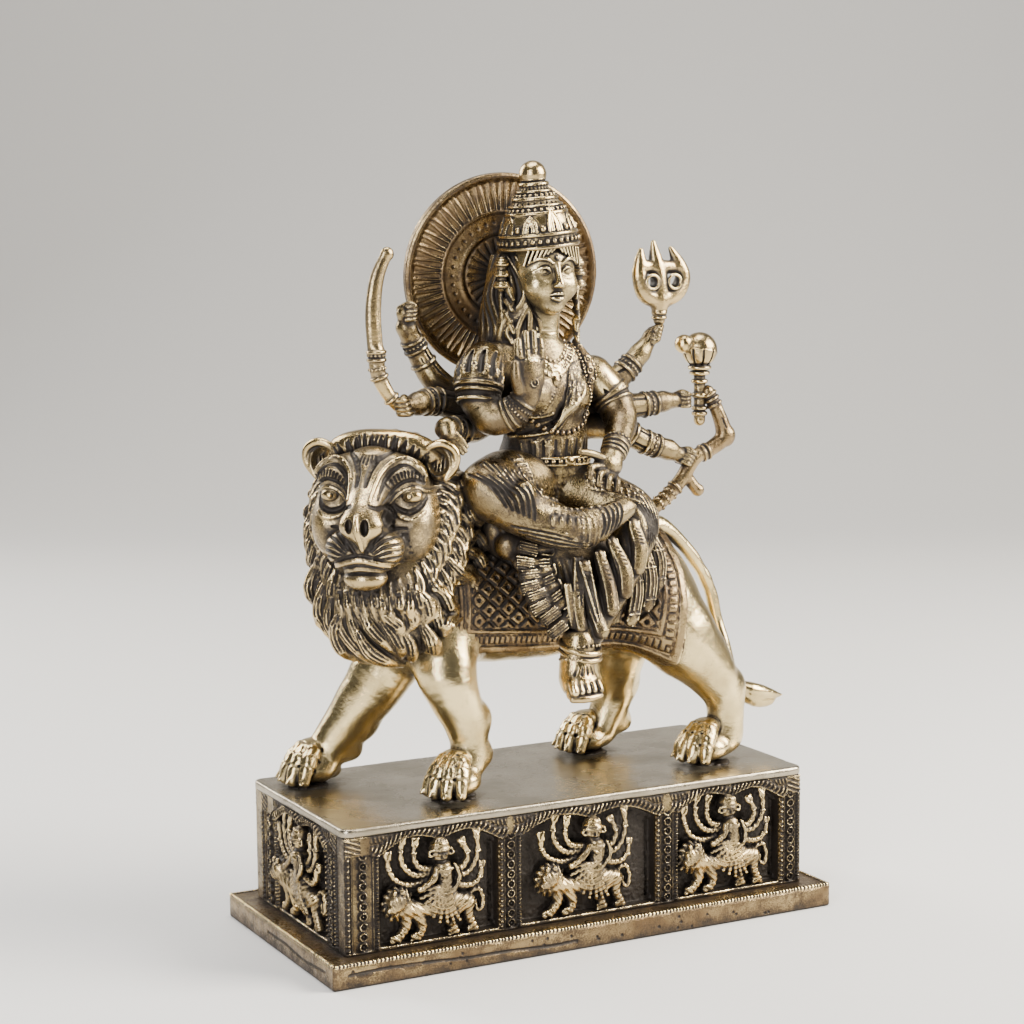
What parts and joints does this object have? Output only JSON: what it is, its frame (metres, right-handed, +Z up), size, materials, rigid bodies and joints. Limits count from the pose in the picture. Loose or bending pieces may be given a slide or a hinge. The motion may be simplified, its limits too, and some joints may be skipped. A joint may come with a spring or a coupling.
{
  "type": "deity statuette",
  "caption": "Cast brass many-armed deity seated on a walking lion, with a round halo, on a rectangular plinth with relief panels and a foot slab.",
  "frame": {"origin": "centre of the foot slab's underside, on the surface the statue stands on", "axes": "+X along the plinth towards the lion's tail, -Y the way the figure faces, +Z up"},
  "size_m": [0.1465, 0.068, 0.1922],
  "materials": {
    "polished_brass": "polished",
    "aged_brass": "satin",
    "patinated_brass": "satin",
    "satin_brass": "satin"
  },
  "bodies": {
    "root": {"foot_slab": "satin_brass", "deck_plate": "satin_brass", "front_panel": "patinated_brass", "back_panel": "patinated_brass", "left_end_panel": "patinated_brass", "right_end_panel": "patinated_brass", "front_left_rider": "aged_brass", "front_middle_rider": "aged_brass", "front_right_rider": "aged_brass", "back_left_rider": "aged_brass", "back_middle_rider": "aged_brass", "back_right_rider": "aged_brass", "left_end_rider": "aged_brass", "right_end_rider": "aged_brass", "paw_braze": "patinated_brass", "lion_body": "aged_brass", "lion_left_foreleg": "aged_brass", "lion_right_foreleg": "aged_brass", "lion_left_hindleg": "aged_brass", "lion_right_hindleg": "aged_brass", "lion_tail": "aged_brass", "lion_mane": "patinated_brass", "lion_head": "polished_brass", "lion_ears": "polished_brass", "saddle_cloth": "aged_brass", "torso": "aged_brass", "folded_leg": "aged_brass", "hanging_leg": "aged_brass", "pleated_skirt": "patinated_brass", "hanging_foot": "aged_brass", "ankle_ring": "polished_brass", "face_and_neck": "polished_brass", "hair_veil": "patinated_brass", "crown": "polished_brass", "crown_ball": "polished_brass", "earrings": "polished_brass", "necklace": "polished_brass", "bead_garland": "aged_brass", "belt": "polished_brass", "raised_hand_arm": "aged_brass", "knee_hand_arm": "aged_brass", "upper_right_arm": "aged_brass", "sword_arm": "aged_brass", "lower_right_arm": "aged_brass", "trident_arm": "aged_brass", "mace_arm": "aged_brass", "bow_arm": "aged_brass", "sword": "polished_brass", "trident": "polished_brass", "mace": "polished_brass", "bow": "aged_brass", "halo": "aged_brass"}
  },
  "joints": []
}
